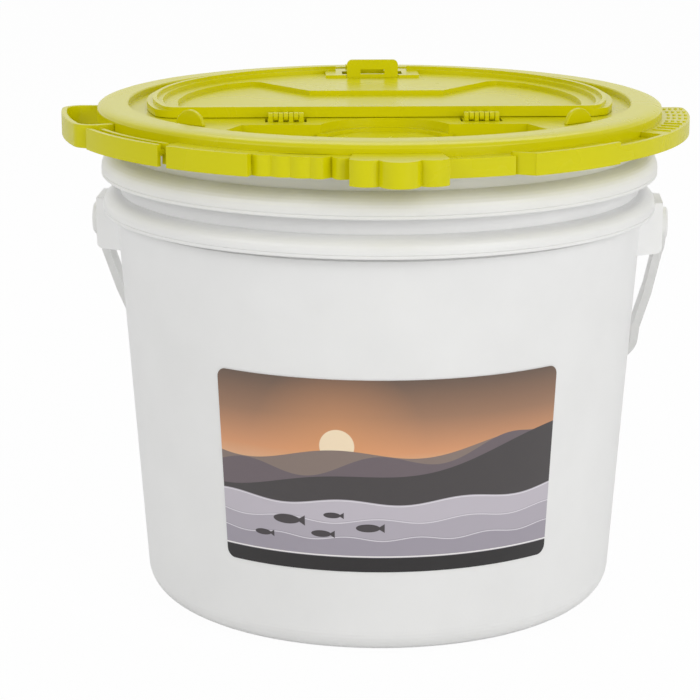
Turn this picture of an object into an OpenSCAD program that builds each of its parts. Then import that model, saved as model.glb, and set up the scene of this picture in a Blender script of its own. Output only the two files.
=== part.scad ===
// Insulated bait bucket: a round pail with a foam liner, a press-fit lid with a hinged hatch,
// and a plastic bail. Millimetres, +Z up, origin at the centre of the base.
// +X runs along the hatch's hinge line, and the hinge side is the front, at -Y.

/* [Pail] */
// Radius of the outer wall, carried down to the ground
pail_r = 130.5; // [120:0.5:140]
// Height of the pail's rim
rim_z = 274; // [272:0.1:280]
// Height where the sloped wall turns into the straight neck
neck_z = 215; // [211:1:216]
// How far the neck stands in from the top of the sloped wall
neck_step = 2.1; // [1:0.1:2.4]
// Outward slope of the wall, mm per mm of height
pail_draft = 0.0697; // [0.05:0.001:0.085]
// Thickness of the pail's wall
pail_wall = 2; // [1.6:0.1:2.6]
// Thickness of the pail's floor
pail_floor = 2.6; // [2:0.1:4]
// Radius of the heel, where wall and floor meet
heel_r = 14.6; // [8:0.2:20]
// Depth of the groove round the middle of the base
foot_hollow = 1.6; // [0.8:0.1:2.4]
// Width of the flat ring that the pail stands on
foot_w = 12; // [6:0.5:20]
// Height of the upper ring's lower edge
high_ring_z = 237.6; // [236:0.2:240]
// Height of the lower ring's lower edge
low_ring_z = 217.4; // [216:0.2:218]
// How far the upper ring stands out of the neck
high_ring_reach = 10; // [7:0.1:10.5]
// How far the lower ring stands out of the neck
low_ring_reach = 9.3; // [7:0.1:10.5]
// Height of the upright band on a ring's edge
ring_band = 4; // [3:0.1:6]
// Height of the upper ring's rounded shoulder
high_shoulder = 9; // [6:0.5:14]
// Height of the lower ring's rounded shoulder
low_shoulder = 7; // [5:0.5:12]
// How far the rim's lip stands out of the neck
lip_reach = 6.4; // [5:0.1:6.9]
// Depth of the rim's lip
lip_drop = 6.5; // [4:0.5:8]

/* [Liner and label] */
// Thickness of the foam liner's wall and floor
foam = 25.4; // [15:0.2:32]
// Width of the label, along the wall
label_w = 186; // [120:1:220]
// Height of the label
label_h = 105; // [60:1:120]
// Height of the label's lower edge
label_z = 47.5; // [30:0.5:80]
// Thickness of the label's film
film = 0.3; // [0.2:0.05:0.6]

/* [Ears and bail] */
// Turn of the ears from the hatch's hinge line, as the lid was pressed on
ear_turn = -4.6; // [-6:0.1:-3]
// Height of the bail's pivot
pivot_z = 208.5; // [206:0.5:210]
// How far an ear stands out of the neck
ear_reach = 13; // [12:0.1:14]
// Width of an ear's outer face
ear_w = 29; // [28:0.5:36]
// Width of an ear where it meets the pail
ear_root = 45; // [42:0.5:48]
// Height of an ear's lower edge
ear_z = 194; // [191:0.5:196]
// Height of an ear's top at its outer face
ear_top = 222.3; // [221:0.1:224]
// Thickness of an ear's walls
ear_wall = 2.4; // [2:0.1:3]
// Radius of the bail's snap-in stub
stub_r = 6; // [4.5:0.1:6.5]
// Radius of the round button on each end of the bail
button_r = 8.8; // [8:0.1:10]
// Thickness of the bail at its eyes
eye_t = 3.2; // [2.6:0.1:4]
// Thickness of the bail's strip, seen from the front
bail_t = 4.6; // [4:0.1:5]
// Width of the bail's strip
bail_w = 9; // [7:0.1:11]
// Length of the bail's upper arms, which run straight down
arm_straight = 78; // [70:1:80]
// How far the strip steps in below the ear
arm_step = 2.1; // [1.5:0.1:2.4]
// How far the strip has drawn in where the upper arm ends
arm_draw = 4.6; // [3.5:0.1:4.8]
// How far each lower arm leans in towards the grip
arm_lean = 8.5; // [5:0.1:9]
// Radius of the bail's bends, on its centre line
bail_bend = 50; // [40:1:60]
// Length of the grip moulded on the bail
grip_l = 95; // [80:1:110]
// Thickness of the grip
grip_t = 8; // [7:0.5:9]
// Width of the grip
grip_w = 17; // [14:0.5:20]
// Lean of the hanging bail from straight down, to the rear
bail_hang = 50; // [48:0.5:52]

/* [Lid] */
// Radius of the lid's disc
lid_r = 155; // [154:0.1:156]
// Width of the lid's raised flat border
border_w = 17; // [15:0.5:18]
// Width of the sloped edge outside the border's flat
edge_w = 7; // [4:0.5:9]
// Fall of that sloped edge
edge_drop = 1.6; // [0.8:0.1:2]
// Thickness of the lid's plates and walls
lid_wall = 2.4; // [2:0.1:2.6]
// How far the deck lies below the border
deck_drop = 3.5; // [3:0.1:4]
// Depth of the lid's skirt below its top
skirt_h = 14.5; // [13:0.1:15.5]
// How far the snap lip stands in from the skirt
snap_lip = 2.2; // [1:0.1:2.4]
// Depth of the front trough below the deck
trough_drop = 6.5; // [5.5:0.1:7]
// Distance from the axis to the trough's straight rear wall
trough_y = 71; // [70:0.5:73]
// Half length of the trough's straight rear wall
trough_x = 75; // [72:0.5:78]
// Angle of the trough's end walls, from the hinge line
trough_slope = 66; // [60:1:72]
// Radius of the aerator's well in the platform
well_r = 36.5; // [33:0.5:38]
// Distance from the axis to the well's centre
well_y = 85; // [84:0.5:87]
// Width of the ledge low in the well
well_ledge = 4.5; // [3:0.5:6]
// Diameter of the hole for the aerator's hose
hose_hole_d = 13; // [10:0.5:18]
// Radius of the hatch opening's curved side
opening_r = 119; // [117:0.1:120]
// Distance from the axis to the opening's straight front edge
opening_y = 45; // [44.6:0.1:46]
// Distance from the axis to the half-moon stops
stop_r = 123.5; // [121:0.5:126]
// Angle of the half-moon stops from the hinge line
stop_angle = 34.7; // [33:0.1:37]
// Height of the half-moon stops
stop_h = 8; // [6:0.5:9]
// Thickness of the half-moon stops
stop_t = 2.5; // [1.5:0.1:3]
// Length of the half-moon stops at the deck
stop_l = 18; // [14:0.5:20]
// Turn of the stops' plates from the hinge line
stop_turn = 36; // [30:1:50]

/* [Lid band] */
// How far the band's lower edge lies below the lid's top
band_low = 16.3; // [15.6:0.1:17]
// How far the band's upper edge lies below the lid's top
band_drop = 5.1; // [4.6:0.1:6]
// How far the band's strips stand out of the lid's disc
band_reach = 16; // [14:0.5:17.5]
// How far the strip on the right of the grip stands out
inset_reach = 11; // [9:0.5:12]
// Thickness of the band's walls
band_wall = 2.4; // [2:0.1:3]
// How far the aerator holder stands out
holder_reach = 19.4; // [18.5:0.1:20.5]
// Thickness of the aerator holder's wall
holder_wall = 3; // [2.4:0.1:3.4]
// Radius of the aerator holder's corners
holder_corner = 11; // [9:0.5:12]
// How far the aerator holder's edge lies below the lid's top
holder_drop = 3.9; // [3.4:0.1:5]
// How far the front grip's three lobes stand out
grip_reach = 27.5; // [25:0.5:29]
// Radius of a lobe of the front grip
lobe_r = 10.5; // [10:0.5:16]
// How far the grip's middle lobe stands out beyond the others
grip_bulge = 5.5; // [3:0.5:7]
// Depth of the front grip below the band's lower edge
grip_drop = 2; // [1:0.1:3]
// How far the thumb tab stands out
tab_reach = 15; // [13:0.5:16]
// How far the thumb tab's top lies below the lid's top
tab_drop = 7; // [6.4:0.1:8]
// How far the thumb tab's lower edge lies below the lid's top
tab_low = 15.5; // [14.8:0.1:16]
// Radius of the thumb tab's rear corner
tab_corner = 4.5; // [3:0.5:8]
// Width of the slit in the left of the band
slit_w = 6; // [4:0.5:8]
// Azimuth where the band begins, at the aerator holder's rear end
holder_a0 = 177.2; // [176:0.1:178]
// Angle that the aerator holder spans
holder_span = 26.6; // [24:0.1:28]
// Angle that the left band spans
left_span = 41.6; // [38:0.1:44]
// Angle from the left band's start to its slit
slit_at = 24.2; // [22:0.1:28]
// Angle that the scallops span
scallop_span = 17.4; // [16:0.1:19]
// Angle that the front grip spans
grip_span = 16.3; // [15:0.1:18]
// Angle that the drawn-in strip spans
inset_span = 12.3; // [11:0.1:14]
// Angle in which the band swings out again
step_span = 2.9; // [2.4:0.1:5]
// Angle that the right band spans
right_span = 19.2; // [17:0.1:20]
// Angle that the thumb tab spans
tab_span = 50.3; // [48:0.1:51]
// Angle from the thumb tab's start to its raised plate
plate_at = 16.5; // [14:0.5:18]
// Angle from the thumb plate's start to its pips
pips_at = 15; // [14:0.5:16]

/* [Hatch] */
// Radius of the hatch door's curved side
door_r = 127.8; // [126:0.1:131]
// How far the raised rim stands in from the door's curved side
rim_set = 3.3; // [2.5:0.1:5]
// Depth of the ledge outside the rim, below the rim's top
flange_drop = 1.8; // [1:0.1:2.4]
// Distance from the axis to the door's straight front edge
door_y = 47; // [46:0.1:48]
// Radius of the door's front corners
door_corner = 12; // [10:0.5:18]
// Thickness of the door's plates
door_wall = 1.9; // [1.6:0.1:2.2]
// Height of the door's rim above the deck
door_h = 6; // [5:0.1:6.5]
// Height of the door's flat above the deck
door_flat = 2.2; // [2:0.1:2.6]
// Width of the door's rim
rim_w = 2.2; // [1.6:0.1:2.6]
// Width of the step inside the door's rim
step_w = 3.3; // [2.4:0.1:4]
// Depth of that step below the rim
step_drop = 1.7; // [1:0.1:2.4]
// Distance from the axis to the pocket's front edge
pocket_y = 40; // [38:0.5:41]
// Depth of the pocket in the door's flat
pocket_d = 2.6; // [1.6:0.1:3]
// Radius of the pocket's curved sides
pocket_r = 111; // [106:0.5:113]
// Distance from the hinge axis to the door's front edge
hinge_back = 12; // [11:0.1:13]
// Height of the hinge axis above the deck
hinge_up = 2.5; // [2.4:0.1:3]
// Distance from the middle of the lid to a hinge's middle
hinge_x = 51.75; // [50:0.25:53]
// Number of the door's knuckles on each hinge
door_knuckles = 3; // [2:1:4]
// Width of a knuckle
knuckle_w = 2.4; // [2:0.05:2.7]
// Gap between two knuckles
knuckle_gap = 0.3; // [0.2:0.05:0.5]
// Radius of a knuckle
knuckle_r = 2.2; // [2:0.1:2.3]
// Radius of the hinge pins
pin_r = 1.05; // [0.9:0.05:1.15]
// Thickness of the door's arms to its knuckles
hinge_arm = 3.2; // [2.6:0.1:3.6]
// How far the slits beside each hinge reach in front of its axis
hinge_slit = 3; // [2:0.5:5]
// Radial clearance of pins, stubs and trunnions
running = 0.08; // [0.05:0.01:0.1]
// Gap between pieces that lie on each other
seat = 0.3; // [0.2:0.05:0.4]

/* [Latch] */
// Distance from the axis to the latch pad's front
pad_y = 97; // [95:0.5:99]
// Half width of the latch pad
pad_x = 27.5; // [25:0.5:29]
// Half width of the gap in the door's rim behind the pad
rim_gap_x = 21.2; // [20:0.2:22]
// Height of the latch pad above the door's flat
pad_h = 1.5; // [1.2:0.1:1.8]
// Width of the latch's thumb plate
thumb_w = 30; // [28:0.5:32]
// Height of the thumb plate above the door's flat
thumb_h = 10.5; // [9.5:0.1:12]
// Thickness of the thumb plate
latch_t = 2.4; // [1.8:0.1:2.6]
// Width of the slot in the thumb plate
slot_w = 14; // [10:0.5:16]
// Height of the slot in the thumb plate
slot_h = 2.8; // [2:0.1:3.6]
// Height of the slot above the door's flat
slot_up = 2.1; // [1.9:0.1:3]
// Gap beside the latch in its window
window_gap = 2.7; // [2:0.1:3.2]
// Radius of the latch's trunnions
trunnion_r = 1.1; // [0.9:0.05:1.2]
// Distance from the middle to the outer side of the latch's two arms
arm_x = 13.5; // [12:0.5:14.5]
// Width of each of the latch's arms
arm_w = 5; // [4:0.5:6]
// Thickness of the latch's arms
arm_t = 1.6; // [1.2:0.1:2]
// Gap between the latch's nose and the border's wall
nose_gap = 3; // [2.6:0.1:3.4]
// Gap between the latch's nose and the deck
nose_up = 1.5; // [1:0.1:2]

/* [Hidden] */
$fn = 180;
eps = 0.01;

white = "#f2f2f0";
foam_white = "#fafafa";
film_color = "#6f6a66";
bail_color = "#dcdcda";
lime = "#cfc805";

// Pail
wall_top_r = pail_r + pail_draft * neck_z;
neck_r = wall_top_r - neck_step;
narrow_z = neck_z - neck_step / pail_draft;
draft_angle = atan(pail_draft);
function wall_r(z) = pail_r + pail_draft * min(z, neck_z);

// Lid heights, from the rim up
rest = 0.1;
lid_top = rim_z + rest + lid_wall;
deck_z = lid_top - deck_drop;
trough_z = deck_z - trough_drop;
border_r = lid_r - border_w;
band_z = lid_top - band_low;
band_top = lid_top - band_drop;
ledge_z = band_top - 0.6;
low_ledge = ledge_z - 1.4;
band_r = lid_r + band_reach;
inset_r = lid_r + inset_reach;
holder_r = lid_r + holder_reach;
grip_r = lid_r + grip_reach;
tab_r = lid_r + tab_reach;
holder_top = lid_top - holder_drop;
tab_top = lid_top - tab_drop;
tab_z = lid_top - tab_low;
left_a0 = holder_a0 + holder_span;
slit_a = left_a0 + slit_at;
left_a1 = left_a0 + left_span;
scallop_a1 = left_a1 + scallop_span;
grip_a1 = scallop_a1 + grip_span;
inset_a1 = grip_a1 + inset_span;
step_a1 = inset_a1 + step_span;
right_a1 = step_a1 + right_span;
tab_a1 = right_a1 + tab_span;
plate_a0 = right_a1 + plate_at;

// Liner
liner_top = trough_z - lid_wall - seat;
liner_floor_z = pail_floor + foot_hollow + seat;

// Hatch
door_z = deck_z + seat;
flat_z = deck_z + door_flat;
door_top = deck_z + door_h;
step_z = door_top - step_drop;
pocket_z = flat_z - pocket_d;
hinge_y = -door_y - hinge_back;
hinge_z = deck_z + hinge_up;
knuckles = 2 * door_knuckles + 1;
knuckle_pitch = knuckle_w + knuckle_gap;

// Latch
trunnion_y = pad_y + latch_t / 2;
trunnion_z = (door_z + flat_z + pad_h) / 2;
trunnion_l = 3.2;
rim_r = door_r - rim_set;
rim_corner = door_corner - rim_set * 0.7;
window_x = thumb_w / 2 + window_gap;
window_y = pad_y + latch_t + 2.2;
window_l = 13.4;
arm_z = flat_z + pad_h + seat;
nose_y = border_r - nose_gap;

// Bail: its depth follows from its lean and the wall it rests on
stub_x = neck_r + ear_reach;
eye_x = stub_x + seat;
bail_x = eye_x + bail_t / 2;
bail_drop = ((pail_r + pail_draft * pivot_z) * cos(draft_angle)
    + (grip_w - grip_t) / 2 * cos(bail_hang + draft_angle) + grip_t / 2 + seat) / sin(bail_hang + draft_angle);

// ---------- helpers ----------

// Ring sector with square edges between two angles
module ring_sector(r_in, r_out, z0, z1, a0, a1) {
    rotate([0, 0, a0])
        translate([0, 0, z0])
            rotate_extrude(angle = a1 - a0)
                translate([r_in, 0])
                    square([r_out - r_in, z1 - z0]);
}

// Disc with one straight side at y = -y0 and two rounded corners of radius c
module d_shape(r, y0, c) {
    corner_y = c - y0;
    corner_x = sqrt(pow(r - c, 2) - pow(corner_y, 2));
    touch = r / (r - c);
    far = 3 * r;
    intersection() {
        circle(r);
        polygon([
            [-corner_x, -y0], [corner_x, -y0],
            [corner_x * touch, corner_y * touch], [far, far * corner_y / corner_x],
            [far, far], [-far, far],
            [-far, far * corner_y / corner_x], [-corner_x * touch, corner_y * touch]
        ]);
    }
    for (side = [-1, 1])
        translate([side * corner_x, corner_y])
            circle(c);
}

module d_plate(r, y0, c, z0, z1) {
    translate([0, 0, z0])
        linear_extrude(z1 - z0)
            d_shape(r, y0, c);
}

module both_sides() {
    children();
    mirror([1, 0, 0])
        children();
}

function arc(cx, cy, r, a0, a1, n) =
    [for (i = [0 : n]) [cx + r * cos(a0 + (a1 - a0) * i / n), cy + r * sin(a0 + (a1 - a0) * i / n)]];

// ---------- pail ----------

// Half section of one hollow ring with a rounded shoulder, open below
module ring_section(z, reach, shoulder) {
    out = neck_r + reach;
    band = z + ring_band;
    steps = 8;
    polygon(concat(
        [for (i = [steps : -1 : 1]) let (a = 90 * i / steps)
            [neck_r - eps + (reach + eps) * cos(a), band + shoulder * sin(a)]],
        [[out, band], [out, z + ring_band * 0.55], [out - 0.4, z + ring_band * 0.5],
         [out, z + ring_band * 0.45], [out, z + 0.5], [out - 0.5, z],
         [out - pail_wall, z], [out - pail_wall, band - 0.6]],
        [for (i = [1 : steps]) let (a = 90 * i / steps)
            [neck_r - eps + (reach + eps - pail_wall) * cos(a),
             band - 0.6 + (shoulder + 0.6 - 1.3 * pail_wall) * sin(a)]]
    ));
}

module pail_section() {
    foot_r = pail_r - heel_r;
    in_heel = heel_r - pail_wall;
    heel_x = wall_r(heel_r) - heel_r / cos(draft_angle);
    polygon(concat(
        [[0, 0], [foot_r - foot_w - 15, 0], [foot_r - foot_w - 14, foot_hollow],
         [foot_r - foot_w - 1, foot_hollow], [foot_r - foot_w, 0]],
        arc(heel_x, heel_r, heel_r, -90, -draft_angle, 10),
        [[wall_top_r, neck_z], [neck_r, neck_z + 2], [neck_r, rim_z - lip_drop * 0.5 - 1.2],
         [neck_r + lip_reach - 1.6, rim_z - lip_drop * 0.5],
         [neck_r + lip_reach - 1.6, rim_z - lip_drop],
         [neck_r + lip_reach - 0.6, rim_z - lip_drop],
         [neck_r + lip_reach, rim_z - lip_drop + 0.8],
         [neck_r + lip_reach, rim_z - 1], [neck_r + lip_reach - 1, rim_z],
         [neck_r - pail_wall, rim_z], [neck_r - pail_wall, neck_z],
         [wall_top_r - pail_draft * 2 - pail_wall, neck_z - 2]],
        arc(heel_x, heel_r + pail_floor + foot_hollow - pail_wall, in_heel, -draft_angle, -90, 10),
        [[0, pail_floor + foot_hollow]]
    ));
}

// One ear, or its hollow inside when t is the wall's thickness
module ear(t) {
    r0 = neck_r - 6;
    side = t * 1.15;
    low = t > 0 ? ear_z - 1 : ear_z;
    intersection() {
        translate([0, 0, low])
            linear_extrude(2 * ear_root)
                polygon([
                    [r0, side - ear_root / 2 - 2], [stub_x - t, side - ear_w / 2],
                    [stub_x - t, ear_w / 2 - side], [r0, ear_root / 2 + 2 - side]
                ]);
        rotate([90, 0, 0])
            linear_extrude(2 * ear_root, center = true)
                polygon(concat(
                    t > 0 ? [[r0 - 1, low - 1], [stub_x + 1, low - 1]]
                        : concat([[r0 - 1, low]], arc(stub_x - 3, low + 3, 3, -90, 0, 5), [[stub_x + 1, low + 4]]),
                    [[stub_x + 1, ear_top - t], [stub_x, ear_top - t], [r0 - 1, ear_top - 0.6 - t]]
                ));
    }
}

module ears() {
    for (side = [0, 180])
        rotate([0, 0, ear_turn + side])
            difference() {
                ear(0);
                ear(ear_wall);
                translate([stub_x - ear_wall - 1, 0, pivot_z])
                    rotate([0, 90, 0])
                        cylinder(h = ear_wall + 3, r = stub_r + running);
            }
}

module pail() {
    color(white) {
        difference() {
            union() {
                ears();
                rotate_extrude()
                    ring_section(high_ring_z, high_ring_reach, high_shoulder);
                rotate_extrude()
                    ring_section(low_ring_z, low_ring_reach, low_shoulder);
            }
            translate([0, 0, neck_z])
                cylinder(h = rim_z, r = neck_r - pail_wall / 2);
            cylinder(h = neck_z + eps, r1 = pail_r - pail_wall / 2, r2 = wall_top_r - pail_wall / 2);
        }
        rotate_extrude()
            pail_section();
    }
}

// ---------- liner and label ----------

module foam_liner() {
    gap = pail_wall + seat;
    heel = max(heel_r - gap, 4);
    inner_floor = liner_floor_z + foam;
    color(foam_white)
        rotate_extrude()
            polygon([
                [0, liner_floor_z],
                [wall_r(heel) - gap - heel, liner_floor_z],
                [wall_r(heel) - gap - heel * 0.3, liner_floor_z + heel * 0.34],
                [wall_r(heel) - gap, liner_floor_z + heel + 2],
                [neck_r - gap, narrow_z],
                [neck_r - gap, liner_top],
                [neck_r - gap - foam, liner_top],
                [neck_r - gap - foam, narrow_z],
                [wall_r(inner_floor) - gap - foam, inner_floor + 8],
                [wall_r(inner_floor) - gap - foam - 8, inner_floor],
                [0, inner_floor]
            ]);
}

// Piece of the label's film between two heights, half wide on each side
module film_band(z0, z1, half) {
    rotate([0, 0, -90 - half])
        rotate_extrude(angle = 2 * half)
            polygon([
                [wall_r(z0) + 0.05, z0], [wall_r(z0) + 0.05 + film, z0],
                [wall_r(z1) + 0.05 + film, z1], [wall_r(z1) + 0.05, z1]
            ]);
}

module label() {
    color(film_color)
        film_band(label_z, label_z + label_h, label_w / 2 / wall_r(label_z + label_h / 2) * 180 / PI);
}

// ---------- bail ----------

// Centre line of the right half of the bail: across, and down from the pivot
lean_x = bail_x - arm_lean;
bend_x = lean_x - bail_bend;
bend_v = bail_drop - bail_bend;
lean_run = 43;

module bail_strip() {
    out = bail_t / 2;
    step_v = 1.03 * norm([ear_w / 2, max(ear_top - pivot_z, pivot_z - ear_z)]);
    polygon(concat(
        [[eye_x + eye_t, 0], [eye_x + eye_t, -step_v], [eye_x - arm_step + bail_t, -step_v - 6],
         [eye_x - arm_draw + bail_t, -arm_straight], [lean_x + out, -arm_straight - lean_run]],
        arc(bend_x, -bend_v, bail_bend + out, 0, -90, 16),
        [[-1, -bail_drop - out], [-1, -bail_drop + out]],
        arc(bend_x, -bend_v, bail_bend - out, -90, 0, 16),
        [[lean_x - out, -arm_straight - lean_run], [eye_x - arm_draw, -arm_straight],
         [eye_x - arm_step, -step_v - 6], [eye_x, -step_v], [eye_x, 0]]
    ));
}

module bail_half() {
    linear_extrude(bail_w, center = true)
        bail_strip();
    // round button outside the ear, and the stub that snaps into it
    translate([eye_x, 0, 0])
        rotate([0, 90, 0])
            cylinder(h = eye_t - 0.8, r = button_r);
    translate([eye_x + eye_t - 0.8, 0, 0])
        rotate([0, 90, 0])
            cylinder(h = 0.8, r1 = button_r, r2 = button_r - 1.1);
    translate([stub_x - ear_wall - 0.6, 0, 0])
        rotate([0, 90, 0])
            cylinder(h = ear_wall + seat + 1, r = stub_r);
}

module grip() {
    ridges = 9;
    pitch = (grip_l - 16) / (ridges - 1);
    translate([0, -bail_drop, 0])
        rotate([0, 90, 0])
            difference() {
                linear_extrude(grip_l, center = true) {
                    square([grip_w - grip_t, grip_t], center = true);
                    for (x = [-1, 1])
                        translate([x * (grip_w - grip_t) / 2, 0])
                            circle(grip_t / 2);
                }
                for (i = [0 : ridges - 1])
                    translate([0, -grip_t / 2, (i - (ridges - 1) / 2) * pitch])
                        rotate([0, 90, 0])
                            cylinder(h = 2 * grip_w, r = 1.2, center = true);
            }
}

module bail() {
    color(bail_color)
        rotate([0, 0, ear_turn])
            translate([0, 0, pivot_z])
                rotate([90 + bail_hang, 0, 0]) {
                    both_sides()
                        bail_half();
                    grip();
                }
}

// ---------- lid ----------

// The trough in front of the platform, grown by g on its rear side
module trough_shape(g) {
    corner_x = trough_x + g * tan(trough_slope / 2);
    run = 90;
    intersection() {
        circle(border_r + g);
        union() {
            polygon([
                [-corner_x, g - trough_y], [corner_x, g - trough_y],
                [corner_x + run * cos(trough_slope), g - trough_y - run * sin(trough_slope)],
                [0, -2 * border_r],
                [-corner_x - run * cos(trough_slope), g - trough_y - run * sin(trough_slope)]
            ]);
            translate([0, -well_y])
                circle(well_r + g);
        }
    }
}

module lid_section() {
    inner = lid_r - lid_wall;
    polygon([
        [border_r - eps, deck_z - lid_wall],
        [border_r - eps, lid_top - 0.6], [border_r + 0.6, lid_top],
        [lid_r - edge_w, lid_top], [lid_r - edge_w / 2, lid_top - 0.3 * edge_drop],
        [lid_r - 1.2, lid_top - 0.8 * edge_drop], [lid_r - 0.4, lid_top - 1.2 * edge_drop],
        [lid_r, lid_top - 1.9 * edge_drop],
        [lid_r, lid_top - skirt_h],
        [inner - snap_lip + 0.8, lid_top - skirt_h],
        [inner - snap_lip, lid_top - skirt_h + 0.8],
        [inner - snap_lip, lid_top - skirt_h + 1.8],
        [inner, lid_top - skirt_h + 3.4],
        [inner, rim_z + rest],
        [border_r + lid_wall, rim_z + rest],
        [border_r + lid_wall, deck_z - lid_wall]
    ]);
}

module lid() {
    color(lime)
        difference() {
            union() {
                rotate_extrude()
                    lid_section();
                // deck, with its edges buried in the border's wall
                translate([0, 0, deck_z - lid_wall])
                    linear_extrude(lid_wall)
                        difference() {
                            circle(border_r + 1);
                            trough_shape(0);
                        }
                // trough: floor and walls
                translate([0, 0, trough_z - lid_wall])
                    linear_extrude(lid_wall)
                        trough_shape(lid_wall);
                translate([0, 0, trough_z - eps])
                    linear_extrude(deck_z - trough_z + eps)
                        difference() {
                            trough_shape(lid_wall);
                            trough_shape(0);
                        }
                // ledge low in the well
                translate([0, 0, trough_z - eps])
                    linear_extrude(trough_drop * 0.28)
                        intersection() {
                            difference() {
                                translate([0, -well_y])
                                    circle(well_r + lid_wall / 2);
                                translate([0, -well_y])
                                    circle(well_r - well_ledge);
                            }
                            translate([-2 * well_r, -trough_y - 2])
                                square([4 * well_r, 2 * well_r]);
                        }
            }
            d_plate(opening_r, opening_y, 12, trough_z, lid_top);
            translate([0, -well_y, trough_z - 2 * lid_wall])
                cylinder(h = 4 * lid_wall, d = hose_hole_d);
            // slits through the deck beside each hinge
            for (side = [-1, 1], end = [-1, 1])
                translate([side * hinge_x + end * (knuckles * knuckle_pitch / 2 + 0.9) - 0.65,
                    hinge_y - hinge_slit, deck_z - 2 * lid_wall])
                    cube([1.3, hinge_slit + hinge_back, 3 * lid_wall]);
        }
}

// Knuckles on the deck and the pin through them
module hinge(side) {
    color(lime)
        translate([side * hinge_x, hinge_y, 0]) {
            for (i = [0 : 2 : knuckles - 1])
                translate([(i - (knuckles - 1) / 2) * knuckle_pitch, 0, 0])
                    rotate([90, 0, 90])
                        linear_extrude(knuckle_w, center = true) {
                            translate([0, hinge_z])
                                circle(knuckle_r);
                            translate([-knuckle_r, deck_z])
                                square([2 * knuckle_r, hinge_z - deck_z]);
                        }
            translate([0, 0, hinge_z])
                rotate([0, 90, 0])
                    cylinder(h = (knuckles - 1) * knuckle_pitch, r = pin_r, center = true);
        }
}

module hinge_left() {
    hinge(-1);
}

module hinge_right() {
    hinge(1);
}

// Upright half-moon stop beside the door
module hatch_stop(side) {
    round_r = (pow(stop_l / 2, 2) + pow(stop_h, 2)) / 2 / stop_h;
    color(lime)
        translate([side * stop_r * cos(stop_angle), -stop_r * sin(stop_angle), deck_z])
            rotate([90, 0, side * stop_turn])
                linear_extrude(stop_t, center = true)
                    intersection() {
                        translate([0, stop_h - round_r])
                            circle(round_r);
                        translate([-stop_l, 0])
                            square([2 * stop_l, 2 * stop_h]);
                    }
}

module hatch_stop_left() {
    hatch_stop(-1);
}

module hatch_stop_right() {
    hatch_stop(1);
}

// ---------- band round the front of the lid ----------

// Top ledge and outer wall of one strip of the band
module strip(r, a0, a1, z0, z1, ledge) {
    ring_sector(lid_r, r - band_wall / 2, ledge - band_wall, ledge, a0, a1);
    ring_sector(r - band_wall, r, z0, z1, a0, a1);
}

// Circles along the holder's arc, for its outer and inner outlines
module holder_outline(r, c, a0, a1) {
    steps = 6;
    ends = asin(c / (r - c));
    hull() {
        for (i = [0 : steps])
            rotate([0, 0, a0 + ends + (a1 - a0 - 2 * ends) * i / steps])
                translate([r - c, 0])
                    circle(c, $fn = 32);
        for (a = [a0, a1])
            rotate([0, 0, a])
                translate([lid_r - 6, a == a0 ? 0.01 : -0.01])
                    square(0.01, center = true);
    }
}

module aerator_holder() {
    wall_angle = holder_wall / lid_r * 180 / PI;
    color(lime)
        difference() {
            translate([0, 0, band_z])
                linear_extrude(holder_top - band_z)
                    difference() {
                        holder_outline(holder_r, holder_corner, holder_a0, left_a0);
                        holder_outline(holder_r - holder_wall, holder_corner - holder_wall,
                            holder_a0 + wall_angle, left_a0 - wall_angle);
                    }
            translate([0, 0, band_z - 1])
                cylinder(h = holder_top, r = lid_r);
        }
}

module band_left() {
    slit_half = slit_w / 2 / band_r * 180 / PI;
    color(lime) {
        // strip beside the holder: an outer wall, a trough and an inner wall
        ring_sector(lid_r, band_r - band_wall / 2, ledge_z - 2 * band_wall, ledge_z - band_wall,
            left_a0 + 0.02, slit_a - slit_half - 0.02);
        ring_sector(band_r - band_wall, band_r, band_z, band_top, left_a0, slit_a - slit_half);
        ring_sector(band_r - 3.4 * band_wall, band_r - 2.4 * band_wall, ledge_z - 1.6 * band_wall, band_top - 0.02,
            left_a0 + 2, slit_a - slit_half - 0.04);
        // ledge behind the slit, and the strip after it
        ring_sector(lid_r, band_r - 2.5 * band_wall, ledge_z - 2 * band_wall, ledge_z - 0.05,
            slit_a - slit_half - 0.2, slit_a + slit_half + 0.2);
        ring_sector(band_r - 3.6 * band_wall, band_r - 2.6 * band_wall, band_z + 0.4, ledge_z - 0.1,
            slit_a - slit_half - 1, slit_a + slit_half + 1);
        strip(band_r, slit_a + slit_half, left_a1, band_z, band_top, ledge_z);
        // end wall beside the scallops
        ring_sector(lid_r + 2, band_r - 0.5, band_z + 0.02, ledge_z - 0.5, left_a1 - 0.9, left_a1 - 0.02);
    }
}

// Wall with upright lobes between the left band and the front grip
module band_scallops() {
    lobes = 5;
    shallow = 1.6;
    deep = 5.6;
    steps = 6 * lobes;
    peak_r = inset_r + 1.6;
    inner_r = peak_r - deep - band_wall;
    span = scallop_a1 - left_a1;
    color(lime) {
        ring_sector(lid_r, peak_r - deep - 0.5, ledge_z - band_wall, ledge_z - 0.4, left_a1, scallop_a1);
        translate([0, 0, band_z])
            linear_extrude(ledge_z - band_z)
                polygon(concat(
                    [for (i = [0 : steps]) let (a = left_a1 + span * i / steps,
                        depth = i > steps * 0.7 && i < steps * 0.9 ? deep : shallow,
                        r = peak_r - depth * (1 - abs(sin(180 * lobes * i / steps)))) [r * cos(a), r * sin(a)]],
                    [for (i = [12 : -1 : 0]) let (a = left_a1 + span * i / 12)
                        [inner_r * cos(a), inner_r * sin(a)]]
                ));
    }
}

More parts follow.
